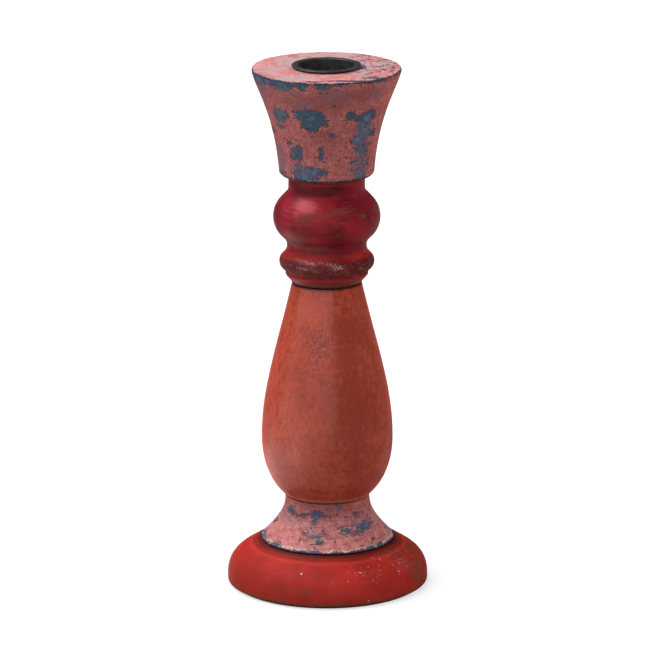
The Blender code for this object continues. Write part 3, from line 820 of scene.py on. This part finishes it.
KNOB_RUBS = [
    (11, 156.2, 5.2, 0.9), (2, 155.6, 3.0, 0.6), (-27, 154.2, 4.2, 1.0), (-20, 152.4, 3.0, 0.6),
    (-44, 142.5, 4.2, 1.6), (-13, 140.8, 4.6, 1.4), (62, 146.5, 3.4, 2.0), (76, 153.6, 4.5, 1.8),
    (70, 150.2, 3.6, 1.2), (-84, 148.6, 5.0, 2.0), (-80, 144.4, 4.0, 1.4), (30, 126.0, 4.6, 1.3),
    (150, 148, 9, 1.6), (215, 144, 8, 1.8), (185, 156, 7, 1.2),
]  # fmt: skip
KNOB_GRIME = [
    (44, 153.8, 2.8, 1.3), (51, 152.6, 2.4, 1.6), (16, 153.0, 2.6, 0.9), (12, 147.5, 2.6, 1.2),
    (-10, 139.6, 5.5, 0.9), (-27, 134.0, 3.0, 0.9), (-13, 132.9, 3.0, 1.0), (52, 134.3, 5.0, 1.3),
    (1, 137.0, 3.0, 0.4), (170, 153, 3, 1.5),
]  # fmt: skip
# Painted shadow: the dark crescent that the cup casts on the knob's neck.
KNOB_CUP_SHADOW = [(-30, 162.9, 7.0, 1.7), (-8, 163.4, 7.0, 2.0), (14, 164.2, 5.0, 1.4), (175, 163.2, 9, 2.0)]
KNOB_SCUFFS = [(5, 134.7, 4.0, 1.0), (14, 133.5, 2.8, 1.5), (-24, 135.0, 5.0, 0.9), (-8, 135.4, 3.0, 0.6),
               (-30, 132.8, 4.0, 0.8), (170, 134.6, 6, 1.2), (245, 134.0, 4, 1.0)]
# Painted highlight: the bulb's upper left is painted lighter where the key light catches it, with a wider,
# fainter patch round it.
KNOB_PAINTED_HIGHLIGHT = [(-28, 157.4, 5.5, 3.0), (-36, 155.0, 3.5, 2.0)]
KNOB_WIDE_PAINTED_HIGHLIGHT = [(-42, 155, 10, 6)]


def dress_knob(skin):
    """Lacquer rubbed to brown on the bulb, scuffed and dirty on the ring, and warmer round the ring. A
    highlight is painted on the upper left of the bulb, shade on the ring's lower half and in the grooves
    below it, and the cup's shadow on the neck.
    """
    low, high = skin.height.min(), skin.height.max()
    up = skin.height - low
    wobble = fractal(skin, 18, seed=61, octaves=3)
    streaks = fractal(skin, 2.2, seed=62, octaves=4, stretch=(5, 5, 0.6), rough=0.6)
    rub = smooth_step(spots(skin, KNOB_RUBS) + 0.5 * streaks, -1.3, 1.0)
    scuff = smooth_step(spots(skin, KNOB_SCUFFS), -0.5, 0.7) * 0.85
    grime_and_shade = smooth_step(spots(skin, KNOB_GRIME) + 0.5 * streaks, -0.8, 0.9) * 0.75
    # Painted shade on the ring's lower half, on its lower side and in the grooves below it; the ring's front
    # also has a real dark rough band.
    ring = between(up + 0.6 * streaks, 5.8, 7.6, 10.2, 11.4)
    underside_shade = between(up, 3.9, 5.2, 7.0, 9.4)
    groove_shade = bell(up, 4.4, 0.45)
    seam = 1 - smooth_step(up, 0.2, 0.9 + 0.3 * streaks)
    grime_and_shade = np.maximum.reduce([grime_and_shade, 0.85 * ring, 0.85 * underside_shade, 0.95 * groove_shade, 0.95 * seam])
    # Painted shadow of the cup on the neck, joined with the dark joint at the knob's foot.
    cup_shadow_and_seam = np.maximum(smooth_step(spots(skin, KNOB_CUP_SHADOW) + 0.5 * streaks, -1.6, 1.8), 0.8 * seam)
    rub = np.maximum(rub, between(up, 0.3, 0.8, 1.9, 2.6))
    flanks = smooth_step(np.abs(turned(skin.angle, 0)), 15, 50)
    shoulder = between(up, 10.2, 11.6, 12.8, 14.8) * (0.2 + 0.6 * flanks)
    step = between(up, 2.2, 2.8, 5.0, 6.5) * (0.2 + 0.7 * flanks)
    bead = 0.6 * bell(up, 1.5, 0.5)
    neck = 0.6 * smooth_step(skin.height, high - 2.2, high - 1.0)
    warm = np.maximum.reduce([shoulder, step, bead, neck])
    # Painted highlight on the upper left of the bulb.
    light = smooth_step(spots(skin, KNOB_PAINTED_HIGHLIGHT), -1.6, 2.6)
    light = np.maximum(light, 0.35 * smooth_step(spots(skin, KNOB_WIDE_PAINTED_HIGHLIGHT), -2.0, 5.0))
    dents = spots(skin, scattered(63, 60, (-180, 180), (low + 4, high - 6), (0.3, 1.1), (0.4, 0.9)))
    nicked = np.maximum(smooth_step(spots(skin, KNOB_SCUFFS), -0.5, 0.6), 0.6 * ring)
    nicks = fractal(skin, 0.9, seed=64, octaves=2) * nicked
    relief = -0.1 * smooth_step(dents, -0.2, 0.4) - 0.09 * np.maximum(nicks, 0)
    relief += 0.05 * wobble + 0.02 * streaks - 0.07 - 0.01 * np.sin(skin.height * 6.3)
    return relief, {"rub": rub, "scuff": scuff, "grime_and_shade": grime_and_shade, "warm": warm, "light": light, "cup_shadow_and_seam": cup_shadow_and_seam}


BODY_SCRATCHES = [
    (-16, 110.9, 3.6, 0.3), (-9, 109.5, 2.8, 0.26), (-25, 112.6, 2.6, 0.2), (20, 117.4, 4.4, 0.24),
    (30, 116.0, 3.6, 0.22), (12, 118.2, 2.4, 0.2), (8, 83.5, 2.6, 0.16), (-34, 117.0, 1.6, 0.3),
    (-22, 114.5, 1.0, 0.5), (160, 92, 5, 0.24), (230, 70, 4, 0.22), (120, 111, 4, 0.25),
]  # fmt: skip
BODY_PALE = [
    (-60, 66, 5.5, 2.2), (-52, 84.5, 4.2, 1.8), (48, 63.5, 4.6, 2.6), (-20, 115, 8, 6.0),
    (56, 52, 5, 3), (170, 70, 9, 4), (110, 95, 6, 4),
]  # fmt: skip


def dress_body(skin):
    """Open pores and fine grain, a few scratches across it, a dark dirt line at the knob's joint with a
    painted shadow below it, and a bare lower edge.
    """
    z = skin.height
    low, high = z.min(), z.max()
    grain = fractal(skin, 1.5, seed=71, octaves=4, stretch=(1, 1, 3))
    mottle = fractal(skin, 3.0, seed=76, octaves=4, rough=0.6)
    wobble = fractal(skin, 26, seed=72, octaves=2)
    front = smooth_step(-np.abs(turned(skin.angle, -16)), -34, -8)
    middle = smooth_step(-np.abs(z - 98), -26, -8)
    clusters = smooth_step(fractal(skin, 12, seed=73, octaves=3), 0.0, 0.7)
    pore = spots(skin, scattered(74, 1300, (-180, 180), (40, 121), (0.14, 0.34), (0.6, 1.9)))
    pore = pore - 0.2 * (1 - np.maximum(front * middle, 0.5 * clusters))
    crazed = front * middle * smooth_step(fractal(skin, 7, seed=77, octaves=4), -0.5, 0.3)
    scratch = spots(skin, BODY_SCRATCHES) + 0.14 * fractal(skin, 1.2, seed=75, octaves=3)
    scratch = smooth_step(scratch, -0.08, 0.12)
    pale = 0.8 * smooth_step(spots(skin, BODY_PALE) + 0.9 * mottle, -1.2, 2.6)
    # A dark dirt line at the knob's joint, then a softer painted shadow below it.
    reach = 1.2 + bell(turned(skin.angle, -14), 0, 20) + 0.7 * np.maximum(mottle, -0.5)
    grime_and_shade = 1 - smooth_step(high - z, 0.2, reach)
    grime_and_shade = np.maximum(grime_and_shade, 0.3 * (1 - smooth_step(high - z, 1.5, 4.5)))
    bare = 0.8 * smooth_step(2.2 - (z - low) + 0.4 * mottle, 0.0, 0.9)
    deep = bell(turned(skin.angle, 26), 0, 24) * between(z, 44, 70, 108, 120)
    relief = -0.13 * smooth_step(pore, -0.12, 0.12) - 0.04 * smooth_step(grain, -0.1, 0.7)
    relief += 0.05 * wobble - 0.06 * scratch - 0.06 + 0.015 * mottle
    fields = {"pore": pore, "scratch": scratch, "pale": pale, "grime_and_shade": grime_and_shade, "bare": bare, "deep": deep}
    return relief, fields | {"crazed": crazed}


BASE_FLECKS = [
    (-17, 13.2, 0.45, 0.4), (-42, 12.9, 0.3, 0.25), (3, 10.9, 0.32, 0.28), (13, 13.8, 0.25, 0.2),
    (18, 13.4, 0.35, 0.2), (22, 13.2, 0.35, 0.22), (34, 11.9, 0.34, 0.26), (28, 10.3, 0.28, 0.26),
    (24, 2.8, 0.4, 0.3),
]  # fmt: skip
BASE_SEAT = 26.9  # radius where the collar's lip ends, to 0.1 mm
BASE_BLOOM = [(56, 13.2, 8, 4), (24, 12.6, 8, 2.4), (200, 12, 12, 3)]
# Brown rubbed patches; those near 90 degrees to each side also paint the darker sides as shade.
BASE_WEAR_AND_SHADE = [
    (-24, 7.6, 5, 1.7), (-14, 7.0, 4, 1.4), (-40, 6, 3, 1.2), (84, 15.5, 8, 3), (92, 9, 8, 5),
    (215, 9, 12, 4), (58, 16.5, 9, 2.4), (70, 8, 10, 6), (-88, 9, 7, 3),
]  # fmt: skip


def dress_base(skin):
    """Soft turning marks, flecks of stray paint that stand proud, a lower edge that turns brown, and a raised
    ring beyond the collar's lip, with a painted shadow under the lip and a painted highlight on the ring.
    """
    wobble = fractal(skin, 24, seed=81, octaves=3)
    mottle = fractal(skin, 4.0, seed=85, octaves=4, rough=0.6)
    low = skin.height.min()
    sprayed = scattered(82, 60, (8, 46), (8, 15.5), (0.1, 0.26), (0.5, 0.9))
    sprayed += scattered(86, 90, (34, 74), (9, 17), (0.1, 0.26), (0.5, 0.9))
    stray = scattered(83, 60, (85, 280), (4, 16), (0.1, 0.3), (0.6, 1.0))
    fleck = spots(skin, BASE_FLECKS + sprayed + stray)
    bloom = 0.75 * smooth_step(spots(skin, BASE_BLOOM), -2.0, 3.0)
    # Rubbed brown patches, which at the sides also stand for painted shade.
    wear_and_shade = 0.85 * smooth_step(spots(skin, BASE_WEAR_AND_SHADE) + 1.6 * mottle, -1.2, 2.4)
    # Browner towards the lower edge.
    edge = 1 - smooth_step(skin.height, low + 0.9, low + 3.0 + 1.4 * mottle)
    wear_and_shade = np.maximum(wear_and_shade, 1.15 * edge)
    from_seat = skin.radius - BASE_SEAT + 0.3 * wobble
    # Painted shadow under the collar's lip: dark just outside the seat, fading over the next few millimetres.
    painted_lip_shadow = 0.5 * (1 - smooth_step(from_seat, 0.7, 1.5)) + 0.42 * (1 - smooth_step(from_seat, 2.2, 3.2))
    # A raised ring beyond the seat; its lighter colour is a painted highlight along its top.
    ridge_and_highlight = bell(from_seat, 3.8, 0.6)
    relief = 0.06 * smooth_step(fleck, -0.1, 0.15) + 0.06 * wobble - 0.09
    relief -= 0.015 * np.sin(skin.radius * 4.2) + 0.03 * smooth_step(fractal(skin, 5, seed=84), 0.3, 0.8)
    relief += 0.1 * ridge_and_highlight - 0.14 * smooth_step(-from_seat, -2.9, -1.5)
    fields = {"fleck": fleck, "bloom": bloom, "wear_and_shade": wear_and_shade, "painted_lip_shadow": painted_lip_shadow, "ridge_and_highlight": 0.6 * ridge_and_highlight}
    return relief, fields


def dress_steel(skin):
    """Drawn steel, which is almost smooth."""
    return 0.012 * fractal(skin, 6, seed=91, octaves=2) - 0.015, {}


def dress_felt(skin):
    """A soft cut edge."""
    near_edge = (skin.radius > skin.radius.max() - 1.5) & (np.abs(skin.facing_up) < LEVEL)
    return -0.1 * np.abs(fractal(skin, 1.0, seed=92, octaves=3)) * near_edge, {}


# ---- the room ----


PAPER, PAPER_GLOW = 0.38, 0.62  # the floor as the camera sees it
TABLE = 0.3  # the floor as the object sees it
FLOOR_REACH = 14.0  # metres, as is the rest of the room
AIM_HEIGHT = 0.11


def make_floor():
    """One wide floor and no wall, so that the object is clear from every side.

    The camera sees it as lit white paper. The object is lit as though it stood on a darker table.
    """
    mesh = bpy.data.meshes.new("floor")
    corners = [(x * FLOOR_REACH, y * FLOOR_REACH, 0.0) for x, y in ((-1, -1), (1, -1), (1, 1), (-1, 1))]
    mesh.from_pydata(corners, [], [(0, 1, 2, 3)])
    f = Finish("floor_paper", roughness=0.9, Specular_IOR_Level=0.0, Emission_Strength=PAPER_GLOW)
    f.set(Base_Color=grey(PAPER), Emission_Color=grey(1.0))
    table = f.add("BsdfDiffuse", "BSDF", Color=(*grey(TABLE), 1.0))
    seen = f.add("LightPath", "Is Camera Ray")
    blend = f.add("MixShader", "Shader", _0=seen, _1=table, _2=f.shader.outputs["BSDF"])
    f.give(f.tree.nodes["Material Output"].inputs["Surface"], blend)
    mesh.materials.append(f.material)
    floor = bpy.data.objects.new("floor", mesh)
    bpy.context.scene.collection.objects.link(floor)


def aim(name, light, azimuth, elevation, distance):
    """Puts a light this many degrees round from the front and up from the floor, facing the object."""
    turn, rise = math.radians(azimuth), math.radians(elevation)
    middle = Vector((0.0, 0.0, AIM_HEIGHT))
    out = Vector((math.sin(turn) * math.cos(rise), -math.cos(turn) * math.cos(rise), math.sin(rise)))
    lamp = bpy.data.objects.new(name, light)
    lamp.location = middle + out * distance
    lamp.rotation_euler = out.to_track_quat("Z", "Y").to_euler()
    lamp.visible_camera = False
    bpy.context.scene.collection.objects.link(lamp)
    return lamp


def make_softbox(name, azimuth, elevation, distance, size, brightness, lights=True, shows=False):
    """A rectangular softbox that lights the object, shows as a reflection in its gloss, or both."""
    light = bpy.data.lights.new(name, "AREA")
    light.shape = "RECTANGLE"
    light.size, light.size_y = size
    light.energy = brightness * math.pi * size[0] * size[1]
    lamp = aim(name, light, azimuth, elevation, distance)
    lamp.visible_diffuse = lights
    lamp.visible_glossy = shows
    return lamp


def make_soft_card(name, azimuth, elevation, distance, size, brightness, blur, steps=6):
    """A white card that only shows as a reflection. Nested cards fade its sides out over a width of blur."""
    cards = []
    place = (azimuth, elevation, distance)
    share = brightness / steps
    for step in range(steps):
        wider = blur * ((step + 0.5) / steps * 2 - 1)
        nested = (size[0] + wider, size[1] + wider)
        card = make_softbox(f"{name}_{step}", *place, nested, share, lights=False, shows=True)
        cards.append(card)
    return cards


def make_floor_card(x, y, size, brightness, blur):
    """A soft card laid on the floor, facing up."""
    clearance, layer = 0.001, 0.0002
    for step, card in enumerate(make_soft_card("floor_card", 0, 0, 1.0, size, brightness, blur)):
        card.location = (x, y, clearance + layer * step)
        card.rotation_euler = (math.pi, 0, 0)


def make_key(azimuth, elevation, power, width):
    """A sun that lights the whole floor evenly. Width is in degrees, as seen."""
    light = bpy.data.lights.new("key", "SUN")
    light.energy = power
    light.angle = math.radians(width)
    aim("key", light, azimuth, elevation, 3.0)


def make_world(ambient):
    """Even white light from all round."""
    world = bpy.data.worlds.new("studio")
    world.use_nodes = True
    background = world.node_tree.nodes["Background"]
    background.inputs["Color"].default_value = (1.0, 1.0, 1.0, 1.0)
    background.inputs["Strength"].default_value = ambient
    bpy.context.scene.world = world


def make_lights():
    """In order: azimuth, elevation, distance, size, brightness. The floor card starts with x and y."""
    make_key(azimuth=-100, elevation=64, power=3.2, width=55)
    make_softbox("front_window", -24, 38, 1.5, (1.2, 1.0), 2.4, shows=True)
    make_softbox("low_fill", 25, 14, 1.4, (1.2, 0.6), 1.1)
    make_softbox("left_bounce", -70, -9, 0.42, (0.4, 0.07), 2.8)
    make_softbox("right_fill", 88, 20, 1.4, (0.9, 1.0), 3.4)
    make_softbox("back_card", 180, 20, 1.3, (0.6, 0.6), 3.0)
    make_soft_card("near_card", -38, 2, 0.31, (0.66, 0.44), 12.4, blur=0.2)
    make_softbox("high_card", -95, 60, 0.9, (0.34, 0.34), 17.0, lights=False, shows=True)
    make_floor_card(-0.17, -0.05, (0.22, 0.32), 3.0, blur=0.1)
    make_world(ambient=0.1)


def make_camera():
    """The photo's view: a long lens 2.1 m in front of the object, tipped down 15 degrees."""
    height, distance, shift_left = 0.666, 2.1, 0.0008
    tip_down, lean = 14.94, 0.14
    camera = bpy.data.cameras.new("camera")
    camera.sensor_width = 36.0
    camera.lens = 304.1
    camera.clip_start, camera.clip_end = 0.1, 60.0
    viewer = bpy.data.objects.new("camera", camera)
    tip = Euler((math.radians(90 - tip_down), 0, 0)).to_matrix()
    turn = tip @ Matrix.Rotation(math.radians(-lean), 3, "Z")
    viewer.matrix_world = Matrix.Translation((-shift_left, -distance, height)) @ turn.to_4x4()
    bpy.context.scene.collection.objects.link(viewer)
    bpy.context.scene.camera = viewer


def refinish(nodes, material):
    """Gives CAD nodes that stay in the picture their own finish."""
    for node in nodes:
        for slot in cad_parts[node].material_slots:
            slot.material = material


def main():
    bpy.context.scene.view_settings.view_transform = "Standard"
    make_camera()
    pink = pink_over_blue()
    make_piece("painted_cup", "flared_cup", "stand", "pink_paint", pink, dress_cup, hidden_radius=12.6)
    make_piece(
        "painted_knob", "turned_knob", "stand", "crimson_paint", crimson(), dress_knob,
        hidden_radius=12.0,
    )
    make_piece(
        "stained_body", "pear_body", "stand", "terracotta_stain", terracotta(), dress_body,
        hidden_radius=12.0, fine=0.58,
    )
    make_piece(
        "painted_collar", "flared_collar", "stand", "pink_paint", pink, dress_collar,
        hidden_radius=14.0, fine=0.32,
    )
    make_piece(
        "painted_base", "round_base", "stand", "red_paint", base_red(), dress_base,
        hidden_radius=22.0, sides=440,
    )
    make_piece(
        "steel_socket", "candle_socket", "socket", "socket_steel", black_steel(), dress_steel,
        sides=128, fine=0.25, corner=85.0, round_off=0.1,
    )
    make_piece(
        "felt_disc", "felt_pad", "stand", "felt", black_felt(), dress_felt,
        hidden_radius=35.0, sides=256, fine=0.25, coarse=3.0, round_off=0.1,
    )
    refinish(("cup_dowel", "knob_dowel"), beech())
    refinish(("coach_screw", "screw_washer"), zinc())
    make_floor()
    make_lights()


main()
